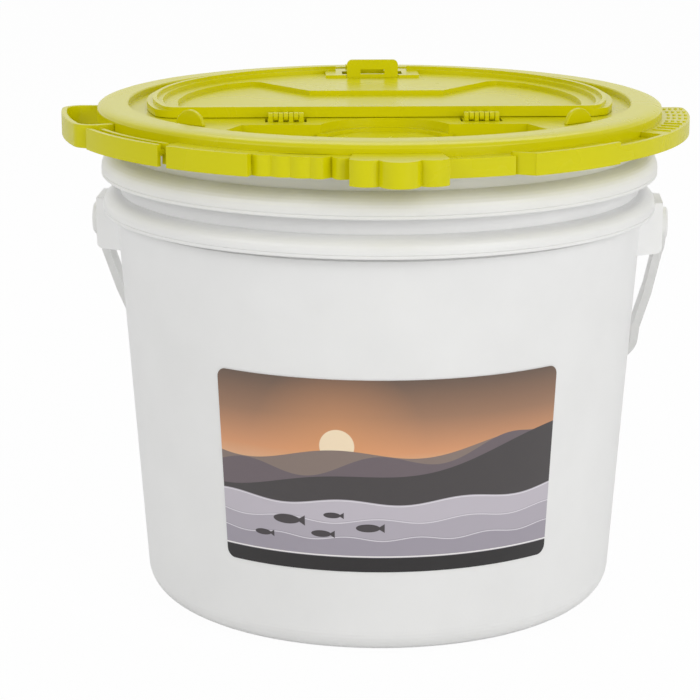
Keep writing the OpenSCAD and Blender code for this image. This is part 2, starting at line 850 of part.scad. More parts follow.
module front_grip() {
    lobes = 3;
    pitch = (grip_a1 - scallop_a1) / lobes;
    low = band_z - grip_drop;
    color(lime)
        difference() {
            intersection() {
                ring_sector(lid_r, grip_r + 1, low, band_top, scallop_a1, grip_a1);
                union() {
                    cylinder(h = band_top, r = grip_r - 10);
                    for (i = [0 : lobes - 1])
                        rotate([0, 0, scallop_a1 + (i + 0.5) * pitch])
                            translate([grip_r - lobe_r - (i == 1 ? 0 : grip_bulge), 0, low - 1])
                                cylinder(h = band_top, r = lobe_r);
                }
            }
            // cored out from below
            ring_sector(lid_r - 1, grip_r - 10 - band_wall, low - 1, ledge_z - band_wall,
                scallop_a1 + 0.9, grip_a1 - 0.9);
        }
}

// Wall that swings from radius ra at angle a0 to radius rb at angle a1, or a plate
// from the radius inner to that curve
module swing_wall(ra, rb, a0, a1, z0, z1, inner = 0) {
    steps = 8;
    turn = [for (i = [0 : steps]) a0 + (a1 - a0) * i / steps];
    reach = [for (i = [0 : steps]) ra + (rb - ra) * i / steps];
    back = [for (i = [0 : steps]) inner > 0 ? inner : reach[i] - band_wall];
    translate([0, 0, z0])
        linear_extrude(z1 - z0)
            polygon(concat(
                [for (i = [0 : steps]) [reach[i] * cos(turn[i]), reach[i] * sin(turn[i])]],
                [for (i = [steps : -1 : 0]) [back[i] * cos(turn[i]), back[i] * sin(turn[i])]]
            ));
}

module band_right() {
    lap = 0.15;
    half = band_wall / 2;
    color(lime) {
        strip(inset_r, grip_a1, inset_a1 + lap, band_z, band_top - 1.6, low_ledge);
        // the wall swings out from behind that strip, with the ledge behind it
        swing_wall(inset_r - 2.6, band_r + 0.98, inset_a1, step_a1 + lap, band_z + 0.02, band_top - 0.02);
        swing_wall(inset_r - 2.6 - half, band_r + 0.98 - half, inset_a1, step_a1 + lap,
            low_ledge - band_wall + 0.02, low_ledge - 0.02, lid_r);
        swing_wall(band_r + 1, tab_r, step_a1, right_a1, band_z, band_top);
        swing_wall(band_r + 1 - half, tab_r - half, step_a1, right_a1,
            low_ledge - band_wall, low_ledge, lid_r);
    }
}

// Plan of the thumb tab with its rounded rear corner, drawn in from its edge by t
module tab_plan(t) {
    out = tab_r - t;
    c = tab_corner - t;
    end_turn = asin(tab_corner / (tab_r - tab_corner));
    end = tab_a1 - end_turn;
    // the cavity's plan runs on past the tab's front end
    start = t > 0 ? right_a1 - 0.5 : right_a1;
    polygon(concat(
        [[(lid_r - 5) * cos(start), (lid_r - 5) * sin(start)]],
        [for (i = [0 : 24]) let (a = start + (end - start) * i / 24) [out * cos(a), out * sin(a)]],
        [for (i = [1 : 8]) let (a = 90 * i / 8)
            [(out - c + c * cos(a)) * cos(end) - c * sin(a) * sin(end),
             (out - c + c * cos(a)) * sin(end) + c * sin(a) * cos(end)]],
        [[(lid_r - 5) * cos(end) - c * sin(end), (lid_r - 5) * sin(end) + c * cos(end)]]
    ));
}

module thumb_tab() {
    color(lime) {
        difference() {
            translate([0, 0, tab_z])
                linear_extrude(tab_top - tab_z)
                    tab_plan(0);
            translate([0, 0, tab_z - 1])
                linear_extrude(tab_top - band_wall - tab_z + 1)
                    tab_plan(band_wall);
            // the front part lies lower than the thumb plate
            ring_sector(lid_r - 10, tab_r - band_wall - 0.3, tab_top - band_wall - 1, tab_top + 1,
                right_a1 - 1, plate_a0 - 0.7);
            translate([0, 0, tab_z - 1])
                cylinder(h = tab_top, r = lid_r);
        }
        ring_sector(lid_r, tab_r - band_wall / 2, tab_top - 2 * band_wall - 0.2, tab_top - band_wall - 0.2,
            right_a1, plate_a0 - 0.2);
        ring_sector(lid_r + 0.2, tab_r - band_wall / 2, tab_top - 1.9 * band_wall, tab_top - band_wall / 2,
            plate_a0 - 0.9, plate_a0 + 0.3);
        // ribs, and raised pips for the thumb
        for (i = [0 : 3])
            rotate([0, 0, plate_a0 + 3 + 3 * i])
                translate([lid_r + 3, -0.5, tab_top - 0.3])
                    cube([tab_reach - 5, 1, 0.9]);
        for (i = [0 : 3], j = [0 : 4])
            rotate([0, 0, plate_a0 + pips_at + 4 * j])
                translate([lid_r + 3.5 + 3.1 * i, 0, tab_top - 0.2])
                    cylinder(h = 0.7, r = 0.9, $fn = 24);
    }
}

// ---------- hatch ----------

// Pocket in the door's flat, grown by g towards the flat
module pocket_shape(g) {
    far = 2 * pocket_r;
    p = pocket_r;
    intersection() {
        circle(p + g);
        polygon([
            [-far, -pocket_y - g], [far, -pocket_y - g], [far, 0.54 * p],
            [0.757 * p + g, 0.649 * p], [0.649 * p, 0.73 * p + g],
            [0.595 * p - g / 2, 0.712 * p + g], [0.342 * p - g / 2, 0.378 * p + g],
            [g / 2 - 0.342 * p, 0.378 * p + g], [g / 2 - 0.595 * p, 0.712 * p + g],
            [-0.649 * p, 0.73 * p + g], [-0.757 * p - g, 0.649 * p], [-far, 0.54 * p]
        ]);
    }
}

// One C-shaped knuckle that snaps over the hinge pin, with its arm to the door
module door_knuckle() {
    rotate([90, 0, 90])
        linear_extrude(knuckle_w, center = true)
            difference() {
                union() {
                    translate([0, hinge_z])
                        circle(knuckle_r);
                    translate([0, door_z])
                        square([hinge_back + 1, hinge_arm]);
                }
                translate([0, hinge_z])
                    circle(pin_r + running);
                translate([-pin_r * 0.8, door_z - 1])
                    square([pin_r * 1.6, hinge_z - door_z + 1]);
            }
}

module hatch_door() {
    step_r = rim_r - rim_w;
    flat_r = step_r - step_w;
    color(lime)
        difference() {
            union() {
                // rim, and the ledge outside it
                difference() {
                    union() {
                        d_plate(rim_r, door_y, rim_corner, door_z, door_top);
                        d_plate(door_r, door_y, door_corner, door_z, door_top - flange_drop);
                    }
                    d_plate(step_r, door_y - rim_w, rim_corner - rim_w, door_z - 1, door_top + 1);
                }
                // step inside the rim
                difference() {
                    d_plate(step_r + eps, door_y - rim_w + eps, rim_corner - rim_w, door_z, step_z);
                    d_plate(flat_r, door_y - rim_w - step_w, rim_corner - rim_w - step_w, door_z - 1, door_top);
                }
                // flat, with the pocket let into it
                difference() {
                    d_plate(flat_r + 1, door_y - rim_w - step_w + 1, rim_corner - 5, flat_z - door_wall, flat_z);
                    translate([0, 0, flat_z - 2 * door_wall])
                        linear_extrude(3 * door_wall)
                            pocket_shape(0);
                }
                translate([0, 0, pocket_z - door_wall])
                    linear_extrude(pocket_d + door_wall)
                        difference() {
                            pocket_shape(door_wall);
                            pocket_shape(0);
                        }
                translate([0, 0, pocket_z - door_wall])
                    linear_extrude(door_wall)
                        pocket_shape(door_wall / 2);
                // latch pad
                intersection() {
                    translate([-pad_x, pad_y, door_z])
                        cube([2 * pad_x, 2 * door_r, flat_z + pad_h - door_z]);
                    cylinder(h = 2 * door_top, r = door_r - rim_w / 2);
                }
                for (side = [-1, 1], i = [1 : 2 : knuckles - 1])
                    translate([side * hinge_x + (i - (knuckles - 1) / 2) * knuckle_pitch, hinge_y, 0])
                        door_knuckle();
            }
            // gap in the rim and its step behind the pad
            translate([-rim_gap_x, pad_y, flat_z + pad_h])
                cube([2 * rim_gap_x, 2 * door_r, door_h]);
            // notch under the latch's arms, and the slot that its thumb plate stands in
            translate([-window_x, window_y, door_z - 1])
                cube([2 * window_x, window_l, door_h]);
            translate([-slot_w / 2 - 0.5, window_y, door_z - 1])
                cube([slot_w + 1, rim_r - window_y, door_h]);
            translate([-thumb_w / 2 - seat, pad_y - 0.4, door_z - 1])
                cube([thumb_w + 2 * seat, latch_t + 1, door_h]);
            translate([0, trunnion_y, trunnion_z])
                rotate([0, 90, 0])
                    cylinder(h = thumb_w + 2 * trunnion_l + 2 * seat, r = trunnion_r + running, center = true);
        }
}

module latch() {
    color(lime) {
        translate([0, pad_y + latch_t, 0])
            rotate([90, 0, 0])
                linear_extrude(latch_t)
                    thumb_outline();
        translate([0, trunnion_y, trunnion_z])
            rotate([0, 90, 0])
                cylinder(h = thumb_w + 2 * trunnion_l, r = trunnion_r, center = true);
        // arms over the pad, and the nose behind the door's edge
        for (x = [-arm_x, arm_x - arm_w])
            translate([x, pad_y + 1, arm_z])
                cube([arm_w, nose_y - 1 - pad_y, arm_t]);
        translate([-thumb_w / 2, 0, 0])
            rotate([90, 0, 90])
                linear_extrude(thumb_w)
                    polygon([
                        [door_r + 0.8, arm_z + arm_t], [door_r + 0.8, deck_z + nose_up + 0.7],
                        [door_r + 1.5, deck_z + nose_up], [nose_y - 1.6, deck_z + nose_up],
                        [nose_y - 0.6, deck_z + nose_up + 1], [nose_y - 0.6, arm_z + arm_t]
                    ]);
    }
}

// Thumb plate with rounded top corners and a slot
module thumb_outline() {
    corner = 3;
    low = trunnion_z - 1;
    top = flat_z + thumb_h;
    difference() {
        union() {
            translate([-thumb_w / 2, low])
                square([thumb_w, top - corner - low]);
            translate([-thumb_w / 2 + corner, low])
                square([thumb_w - 2 * corner, top - low]);
            for (x = [-1, 1])
                translate([x * (thumb_w / 2 - corner), top - corner])
                    circle(corner);
        }
        translate([-slot_w / 2, flat_z + slot_up])
            square([slot_w, slot_h]);
    }
}

pail();
foam_liner();
label();
bail();
lid();
hinge_left();
hinge_right();
hatch_stop_left();
hatch_stop_right();
aerator_holder();
band_left();
band_scallops();
front_grip();
band_right();
thumb_tab();
hatch_door();
latch();
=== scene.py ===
"""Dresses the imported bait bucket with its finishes, its label and a studio stage."""

import math

import bmesh
import bpy
import numpy as np
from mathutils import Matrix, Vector


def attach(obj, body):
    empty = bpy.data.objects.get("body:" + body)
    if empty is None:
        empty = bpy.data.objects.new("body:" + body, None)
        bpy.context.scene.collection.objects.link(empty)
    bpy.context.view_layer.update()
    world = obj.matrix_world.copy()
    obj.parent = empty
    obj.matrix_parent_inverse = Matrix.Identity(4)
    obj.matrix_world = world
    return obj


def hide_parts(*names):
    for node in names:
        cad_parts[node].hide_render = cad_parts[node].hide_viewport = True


bl_info = {
    "name": "Bait Bucket Dresser",
    "version": (1, 0, 0),
    "blender": (4, 5, 0),
    "location": "View3D > Sidebar > Bait Bucket",
    "description": "Finishes, label and stage for an insulated bait bucket",
    "category": "Object",
}

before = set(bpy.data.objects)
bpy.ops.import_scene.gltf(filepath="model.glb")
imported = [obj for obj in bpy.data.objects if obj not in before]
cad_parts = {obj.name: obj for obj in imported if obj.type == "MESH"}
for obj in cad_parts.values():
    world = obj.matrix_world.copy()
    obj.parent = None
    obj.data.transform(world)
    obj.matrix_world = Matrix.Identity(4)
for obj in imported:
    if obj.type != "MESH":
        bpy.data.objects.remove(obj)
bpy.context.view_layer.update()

LID_NODES = (
    "lid",
    "hinge_left",
    "hinge_right",
    "hatch_stop_left",
    "hatch_stop_right",
    "aerator_holder",
    "band_left",
    "band_scallops",
    "front_grip",
    "band_right",
    "thumb_tab",
)
MM = 0.001
# Points of a CAD mesh closer than this, in metres, are one point
WELD = 2e-6
# Triangles that meet at less than this many degrees are one flat face
FLAT_ANGLE = 0.6


# ---------- colours and node trees ----------


def srgb(hex_code):
    """Linear red, green and blue of an sRGB hex colour."""
    code = hex_code.lstrip("#")
    values = [int(code[i : i + 2], 16) / 255 for i in (0, 2, 4)]
    return tuple(v / 12.92 if v <= 0.04045 else ((v + 0.055) / 1.055) ** 2.4 for v in values)


def rgba(color):
    """Four-number colour for a node's socket."""
    return (color[0], color[1], color[2], 1.0)


def add(tree, kind, settings=None, inputs=None):
    """Adds one node, with its own properties and its inputs.

    An input is a socket by name or number, given a value or another node's output.
    """
    node = tree.nodes.new(kind)
    for name, value in (settings or {}).items():
        setattr(node, name, value)
    for key, value in (inputs or {}).items():
        socket = node.inputs[key]
        if isinstance(value, bpy.types.NodeSocket):
            tree.links.new(value, socket)
        else:
            socket.default_value = value
    return node


def ramp_stops(node, stops):
    """Sets a Color Ramp's stops from (place, colour) pairs."""
    elements = node.color_ramp.elements
    while len(elements) > 1:
        elements.remove(elements[-1])
    elements[0].position, elements[0].color = stops[0][0], rgba(stops[0][1])
    for place, color in stops[1:]:
        elements.new(place).color = rgba(color)


def new_material(name):
    """Empty material with an output and one Principled shader."""
    material = bpy.data.materials.new(name)
    material.use_nodes = True
    tree = material.node_tree
    tree.nodes.clear()
    shader = add(tree, "ShaderNodeBsdfPrincipled")
    add(tree, "ShaderNodeOutputMaterial", inputs={"Surface": shader.outputs["BSDF"]})
    return material, tree, shader


def give(obj, material):
    """Puts one material on every face of an object."""
    obj.data.materials.clear()
    obj.data.materials.append(material)


# ---------- materials ----------


def moulded_hdpe_white(settings):
    """Injection-moulded white polyethylene."""
    # Polyethylene is slightly translucent and waxy, with a soft sheen and faint flow mottling.
    material, tree, shader = new_material("moulded_white_polyethylene")
    place = add(tree, "ShaderNodeTexCoord").outputs["Object"]
    mottle = add(tree, "ShaderNodeTexNoise", inputs={"Vector": place, "Scale": 28.0, "Detail": 3.0})
    # surface texture of about 0.6 mm, drawn a little coarser than the real one so that it shows
    grain = add(tree, "ShaderNodeTexNoise", inputs={"Vector": place, "Scale": 900.0, "Detail": 2.0})
    tone = add(tree, "ShaderNodeValToRGB", inputs={"Fac": mottle.outputs["Fac"]})
    base = settings.pail_color
    ramp_stops(tone, [(0.3, [c * 0.97 for c in base]), (0.7, base)])
    gloss = add(
        tree,
        "ShaderNodeMapRange",
        inputs={"Value": mottle.outputs["Fac"], "To Min": 0.34, "To Max": 0.44},
    )
    bump = add(
        tree,
        "ShaderNodeBump",
        inputs={"Height": grain.outputs["Fac"], "Strength": 0.06, "Distance": 0.0004},
    )
    tree.links.new(tone.outputs["Color"], shader.inputs["Base Color"])
    tree.links.new(gloss.outputs["Result"], shader.inputs["Roughness"])
    tree.links.new(bump.outputs["Normal"], shader.inputs["Normal"])
    shader.inputs["IOR"].default_value = 1.54
    shader.inputs["Subsurface Weight"].default_value = 0.12
    shader.inputs["Subsurface Radius"].default_value = (0.004, 0.004, 0.004)
    shader.inputs["Subsurface Scale"].default_value = 1.0
    return material


def moulded_lime_polyethylene(settings):
    """Glossy injection-moulded lime plastic."""
    # A polished mould leaves sharp soft-edged highlights, with faint flow lines away from the gate.
    material, tree, shader = new_material("moulded_lime_polyethylene")
    place = add(tree, "ShaderNodeTexCoord").outputs["Object"]
    flow = add(
        tree,
        "ShaderNodeTexNoise",
        inputs={"Vector": place, "Scale": 16.0, "Detail": 4.0, "Distortion": 0.6},
    )
    ripple = add(tree, "ShaderNodeTexNoise", inputs={"Vector": place, "Scale": 90.0, "Detail": 2.0})
    base = settings.lid_color
    tone = add(tree, "ShaderNodeValToRGB", inputs={"Fac": flow.outputs["Fac"]})
    ramp_stops(tone, [(0.25, [c * 0.95 for c in base]), (0.75, base)])
    gloss = add(
        tree,
        "ShaderNodeMapRange",
        inputs={"Value": flow.outputs["Fac"], "To Min": 0.22, "To Max": 0.32},
    )
    bump = add(
        tree,
        "ShaderNodeBump",
        inputs={"Height": ripple.outputs["Fac"], "Strength": 0.05, "Distance": 0.0006},
    )
    tree.links.new(tone.outputs["Color"], shader.inputs["Base Color"])
    tree.links.new(gloss.outputs["Result"], shader.inputs["Roughness"])
    tree.links.new(bump.outputs["Normal"], shader.inputs["Normal"])
    shader.inputs["IOR"].default_value = 1.5
    # less mirror-like than the typical plastic, as its walls stay deep in colour
    shader.inputs["Specular IOR Level"].default_value = 0.24
    return material


def lime_finish(settings):
    """The lime plastic, made once and shared by the lid, the hatch and the latch."""
    made = bpy.data.materials.get("moulded_lime_polyethylene")
    return made or moulded_lime_polyethylene(settings)


def moulded_bail_plastic(settings):
    """Off-white moulded polypropylene of the bail."""
    # Greyer and a little harder than the pail, with a dull satin skin.
    material, tree, shader = new_material("moulded_offwhite_polypropylene")
    place = add(tree, "ShaderNodeTexCoord").outputs["Object"]
    cloud = add(tree, "ShaderNodeTexNoise", inputs={"Vector": place, "Scale": 40.0, "Detail": 3.0})
    base = settings.bail_color
    tone = add(tree, "ShaderNodeValToRGB", inputs={"Fac": cloud.outputs["Fac"]})
    ramp_stops(tone, [(0.3, [c * 0.95 for c in base]), (0.7, base)])
    bump = add(
        tree,
        "ShaderNodeBump",
        inputs={"Height": cloud.outputs["Fac"], "Strength": 0.05, "Distance": 0.0006},
    )
    tree.links.new(tone.outputs["Color"], shader.inputs["Base Color"])
    tree.links.new(bump.outputs["Normal"], shader.inputs["Normal"])
    shader.inputs["Roughness"].default_value = 0.42
    shader.inputs["IOR"].default_value = 1.49
    return material


def expanded_bead_foam():
    """Moulded bead foam, with beads about 4 mm across."""
    # Pressed beads leave a net of fine seams and a matt, chalky face.
    material, tree, shader = new_material("expanded_bead_foam")
    place = add(tree, "ShaderNodeTexCoord").outputs["Object"]
    beads = add(
        tree,
        "ShaderNodeTexVoronoi",
        {"feature": "DISTANCE_TO_EDGE"},
        {"Vector": place, "Scale": 240.0},
    )
    seam = add(
        tree,
        "ShaderNodeMapRange",
        inputs={"Value": beads.outputs["Distance"], "From Max": 0.12, "To Min": 0.0, "To Max": 1.0},
    )
    tone = add(tree, "ShaderNodeValToRGB", inputs={"Fac": seam.outputs["Result"]})
    ramp_stops(tone, [(0.0, srgb("#d9d9d6")), (1.0, srgb("#f4f4f1"))])
    bump = add(
        tree,
        "ShaderNodeBump",
        inputs={"Height": seam.outputs["Result"], "Strength": 0.35, "Distance": 0.0005},
    )
    tree.links.new(tone.outputs["Color"], shader.inputs["Base Color"])
    tree.links.new(bump.outputs["Normal"], shader.inputs["Normal"])
    shader.inputs["Roughness"].default_value = 0.85
    return material


# The label's print, in millimetres from its lower left corner
PRINT_WIDTH = 186.0
PRINT_SUN = (66.0, 69.0)
SUN_RADIUS = 9.05
SUN_GLOW = 46.0
SKY_FROM, SKY_TO = 48.0, 108.0
FOOT_TOP = 8.0
FOOT_LINE = 8.6
# Rolling bands, from the back to the front: height of the band's edge, height, length and shift
# of its waves, how far the edge climbs to the right, and its colour
PRINT_BANDS = (
    (62.0, 3.2, 96.0, 10.0, 9.0, "#8a7a72"),
    (54.0, 4.2, 71.0, 38.0, 19.0, "#70656a"),
    (45.0, 3.0, 118.0, 74.0, 27.0, "#4a4647"),
    (38.0, 1.6, 64.0, 20.0, 2.0, "#c4bec7"),
    (28.5, 1.3, 49.0, 3.0, 1.0, "#b4aeb8"),
    (19.0, 1.0, 38.0, 15.0, 0.0, "#a39da8"),
)
# The first bands are hills, and the ones from this place on are water with pale crests
FIRST_WATER = 3
# Small plain fish in the water: place of the body's middle and half its length
PRINT_FISH = (
    (38.0, 27.0, 7.5),
    (57.0, 20.5, 5.4),
    (63.0, 31.0, 4.6),
    (82.0, 24.5, 6.4),
    (24.0, 18.0, 4.8),
)


def printed_film():
    """Glossy printed polypropylene film of the label."""
    # Flat inks under a clear varnish: crisp edges between colours and one soft sheen over all.
    material, tree, shader = new_material("printed_polypropylene_film")
    maths = "ShaderNodeMath"
    vectors = "ShaderNodeVectorMath"
    place = add(tree, "ShaderNodeUVMap", {"uv_map": "print_mm"}).outputs["UV"]
    split = add(tree, "ShaderNodeSeparateXYZ", inputs={"Vector": place})
    across, up = split.outputs["X"], split.outputs["Y"]

    # evening sky, brown above and peach at the horizon, with a low round sun
    height = add(
        tree,
        "ShaderNodeMapRange",
        inputs={"Value": up, "From Min": SKY_FROM, "From Max": SKY_TO},
    )
    sky = add(tree, "ShaderNodeValToRGB", inputs={"Fac": height.outputs["Result"]})
    stops = ((0.0, "#f0cba6"), (0.3, "#dc9d72"), (0.62, "#a07a60"), (1.0, "#62544b"))
    ramp_stops(sky, [(where, srgb(code)) for where, code in stops])
    color = sky.outputs["Color"]
    sun = add(tree, vectors, {"operation": "DISTANCE"}, {0: place, 1: (*PRINT_SUN, 0.0)})
    away = sun.outputs["Value"]

    # each layer: a value, where its colour is gone, where it is full, how much it covers, its colour
    layers = [
        (away, SUN_GLOW, 0.0, 0.55, "#e8a26c"),
        (away, SUN_RADIUS + 0.15, SUN_RADIUS - 0.15, 1.0, "#f8e3c2"),
    ]
    share = add(tree, maths, {"operation": "DIVIDE"}, {0: across, 1: PRINT_WIDTH}).outputs[0]
    slope = add(tree, maths, {"operation": "POWER"}, {0: share, 1: 1.6}).outputs[0]
    for band, (edge, wave, length, shift, climb, code) in enumerate(PRINT_BANDS):
        step = {0: across, 1: 2 * math.pi / length, 2: shift}
        turn = add(tree, maths, {"operation": "MULTIPLY_ADD"}, step).outputs[0]
        swing = add(tree, maths, {"operation": "SINE"}, {0: turn}).outputs[0]
        line = add(tree, maths, {"operation": "MULTIPLY_ADD"}, {0: swing, 1: wave, 2: edge}).outputs[0]
        rise = add(tree, maths, {"operation": "MULTIPLY_ADD"}, {0: slope, 1: climb, 2: line}).outputs[0]
        below = add(tree, maths, {"operation": "SUBTRACT"}, {0: up, 1: rise}).outputs[0]
        layers.append((below, 0.12, -0.12, 1.0, code))
        if band >= FIRST_WATER:
            # a thin pale crest on each wave of the water
            crest = add(tree, maths, {"operation": "COMPARE"}, {0: below, 1: -0.7, 2: 0.28}).outputs[0]
            layers.append((crest, 0.0, 1.0, 0.8, "#e6e2e8"))
    for fish_x, fish_y, half in PRINT_FISH:
        # the fish's own place, in half lengths from the middle of its body
        swim = add(
            tree,
            "ShaderNodeMapping",
            {"vector_type": "TEXTURE"},
            {"Vector": place, "Location": (fish_x, fish_y, 0.0), "Scale": (half, half, 1.0)},
        ).outputs[0]
        oval = add(tree, vectors, {"operation": "MULTIPLY"}, {0: swim, 1: (1.0, 2.9, 0.0)}).outputs[0]
        body = add(tree, vectors, {"operation": "LENGTH"}, {0: oval}).outputs["Value"]
        layers.append((body, 1.025, 0.975, 1.0, "#4a4548"))
        # tail: a wedge that opens to the right
        part = add(tree, "ShaderNodeSeparateXYZ", inputs={"Vector": swim})
        over = add(tree, maths, {"operation": "ABSOLUTE"}, {0: part.outputs["Y"]}).outputs[0]
        slant = {0: part.outputs["X"], 1: -0.62, 2: over}
        side = add(tree, maths, {"operation": "MULTIPLY_ADD"}, slant).outputs[0]
        wedge = add(tree, maths, {"operation": "ADD"}, {0: side, 1: 0.465}).outputs[0]
        back = add(tree, maths, {"operation": "SUBTRACT"}, {0: part.outputs["X"], 1: 1.05}).outputs[0]
        ends = add(tree, maths, {"operation": "ABSOLUTE"}, {0: back}).outputs[0]
        short = add(tree, maths, {"operation": "SUBTRACT"}, {0: ends, 1: 0.32}).outputs[0]
        tail = add(tree, maths, {"operation": "MAXIMUM"}, {0: wedge, 1: short}).outputs[0]
        layers.append((tail, 0.02, -0.02, 1.0, "#4a4548"))

    # dark foot with a white line above it
    layers.append((up, FOOT_TOP + 0.1, FOOT_TOP - 0.1, 1.0, "#2b292a"))
    rule = add(tree, maths, {"operation": "COMPARE"}, {0: up, 1: FOOT_LINE, 2: 0.35}).outputs[0]
    layers.append((rule, 0.0, 1.0, 1.0, "#f2f0ee"))
    for value, none, full, cover, code in layers:
        mask = add(
            tree,
            "ShaderNodeMapRange",
            inputs={"Value": value, "From Min": full, "From Max": none, "To Min": cover, "To Max": 0.0},
        )
        mix = add(
            tree,
            "ShaderNodeMix",
            {"data_type": "RGBA"},
            {"Factor": mask.outputs["Result"], 6: color, 7: rgba(srgb(code))},
        )
        color = mix.outputs[2]
    tree.links.new(color, shader.inputs["Base Color"])
    shader.inputs["Roughness"].default_value = 0.34
    shader.inputs["IOR"].default_value = 1.49
    return material


# ---------- shapes ----------


def mesh_object(name, verts, faces):
    """Object at the origin from arrays of points in metres and of faces."""
    mesh = bpy.data.meshes.new(name)
    mesh.from_pydata(verts.tolist(), [], faces.tolist())
    mesh.update()
    obj = bpy.data.objects.new(name, mesh)
    bpy.context.scene.collection.objects.link(obj)
    return obj


def grid_faces(rows, columns):
    """Quads of a grid of rows by columns points."""
    i = np.arange(rows - 1)[:, None]
    j = np.arange(columns - 1)[None, :]
    k = j + 1
    corners = (i * columns + j, i * columns + k, (i + 1) * columns + k, (i + 1) * columns + j)
    return np.stack(np.broadcast_arrays(*corners), -1).reshape(-1, 4)


def smooth(obj, angle=35.0):
    """Shades an object smooth across edges flatter than the angle, in degrees."""
    mesh = obj.data
    mesh.polygons.foreach_set("use_smooth", np.ones(len(mesh.polygons), bool))
    mesh.set_sharp_from_angle(angle=math.radians(angle))


def softened(node, name, width, material):
    """Copy of a CAD node with its triangles merged and its moulded edges rounded, in its place."""
    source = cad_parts[node]
    mesh = source.data.copy()
    mesh.name = name
    work = bmesh.new()
    work.from_mesh(mesh)
    bmesh.ops.remove_doubles(work, verts=work.verts, dist=WELD)
    bmesh.ops.dissolve_limit(
        work,
        angle_limit=math.radians(FLAT_ANGLE),
        verts=work.verts,
        edges=work.edges,
        delimit={"NORMAL"},
    )
    work.to_mesh(mesh)
    work.free()
    obj = bpy.data.objects.new(name, mesh)
    bpy.context.scene.collection.objects.link(obj)
    for key in list(obj.keys()):
        del obj[key]
    smooth(obj)
    if width:
        bevel = obj.modifiers.new("moulded_edges", "BEVEL")
        bevel.width = width * MM
        bevel.segments = 2
        bevel.limit_method = "ANGLE"
        bevel.angle_limit = math.radians(40)
        bevel.use_clamp_overlap = True
        # flat faces keep flat shading right up to their rounded edges
        weighted = obj.modifiers.new("flat_faces", "WEIGHTED_NORMAL")
        weighted.weight = 100
        weighted.keep_sharp = True
    give(obj, material)
    return obj


# ---------- settings ----------


class BaitBucketFinishes(bpy.types.PropertyGroup):
    """Colours and edge radii of the moulded pieces."""

    pail_color: bpy.props.FloatVectorProperty(
        name="Pail colour",
        description="Colour of the white pail",
        subtype="COLOR",
        default=srgb("#f1f1f0"),
        min=0.0,
        max=1.0,
    )
    lid_color: bpy.props.FloatVectorProperty(
        name="Lid colour",
        description="Colour of the lid, the hatch and the latch",
        subtype="COLOR",
        default=srgb("#d8d200"),
        min=0.0,
        max=1.0,
    )
    bail_color: bpy.props.FloatVectorProperty(
        name="Bail colour",
        description="Colour of the bail",
        subtype="COLOR",
        default=srgb("#f0f0ee"),
        min=0.0,
        max=1.0,
    )
    lid_edge: bpy.props.FloatProperty(
        name="Lid edge radius",
        description="Rounding of the lid's moulded edges, in millimetres",
        default=0.45,
        min=0.05,
        max=1.0,
    )


class BaitBucketLabel(bpy.types.PropertyGroup):
    """Size and place of the label."""

    width: bpy.props.FloatProperty(
        name="Width",
        description="Width along the wall",
        default=0.186,
        subtype="DISTANCE",
        unit="LENGTH",
    )
    height: bpy.props.FloatProperty(
        name="Height",
        description="Height of the label",
        default=0.105,
        subtype="DISTANCE",
        unit="LENGTH",
    )
    low_edge: bpy.props.FloatProperty(
        name="Lower edge",
        description="Height of its lower edge",
        default=0.0475,
        subtype="DISTANCE",
        unit="LENGTH",
    )
    corner: bpy.props.FloatProperty(
        name="Corner radius",
        description="Radius of its corners",
        default=0.005,
        subtype="DISTANCE",
        unit="LENGTH",
    )
    film: bpy.props.FloatProperty(
        name="Film",
        description="Thickness of the film",
        default=0.0003,
        subtype="DISTANCE",
        unit="LENGTH",
    )
    ground_radius: bpy.props.FloatProperty(
        name="Wall radius",
        description="Wall's radius at the ground",
        default=0.1305,
        subtype="DISTANCE",
        unit="LENGTH",
    )
    draft: bpy.props.FloatProperty(
        name="Draft",
        description="Outward slope of the wall, metres per metre of height",
        default=0.0697,
    )


class BaitBucketStage(bpy.types.PropertyGroup):
    """Floor, light and camera."""

    floor_color: bpy.props.FloatVectorProperty(
        name="Floor colour",
        description="Colour of the studio floor",
        subtype="COLOR",
        default=srgb("#f4f4f4"),
        min=0.0,
        max=1.0,
    )
    light_level: bpy.props.FloatProperty(
        name="Light level",
        description="Strength of all lamps together",
        default=1.0,
        min=0.0,
        max=3.0,
    )
    lens: bpy.props.FloatProperty(
        name="Lens",
        description="Focal length in millimetres",
        default=126.05,
        min=20.0,
        max=300.0,
    )
    distance: bpy.props.FloatProperty(
        name="Camera distance",
        description="From the bucket's axis to the camera, along the floor",
        default=1.3458,
        subtype="DISTANCE",
        unit="LENGTH",
    )
    eye_height: bpy.props.FloatProperty(
        name="Camera height",
        description="Height of the camera above the floor",
        default=0.4672,
        subtype="DISTANCE",
        unit="LENGTH",
    )
    tilt: bpy.props.FloatProperty(
        name="Camera tilt",
        description="How far the camera looks down",
        default=0.243,
        subtype="ANGLE",
        unit="ROTATION",
    )
    swing: bpy.props.FloatProperty(
        name="Camera swing",
        description="Turn of the camera's place about the bucket's axis",
        default=math.radians(2.4),
        subtype="ANGLE",
        unit="ROTATION",
    )
    pan: bpy.props.FloatProperty(
        name="Camera pan",
        description="How far the camera looks past the bucket's axis",
        default=0.012,
        subtype="ANGLE",
        unit="ROTATION",
    )


# ---------- operators ----------


class BAITBUCKET_OT_pail(bpy.types.Operator):
    """Finishes the pail with its rings and ears"""

    bl_idname = "bait_bucket.pail"
    bl_label = "Pail"

    def execute(self, context):
        finish = moulded_hdpe_white(context.scene.bait_bucket_finishes)
        give(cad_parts["pail"], finish)
        smooth(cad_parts["pail"])
        return {"FINISHED"}


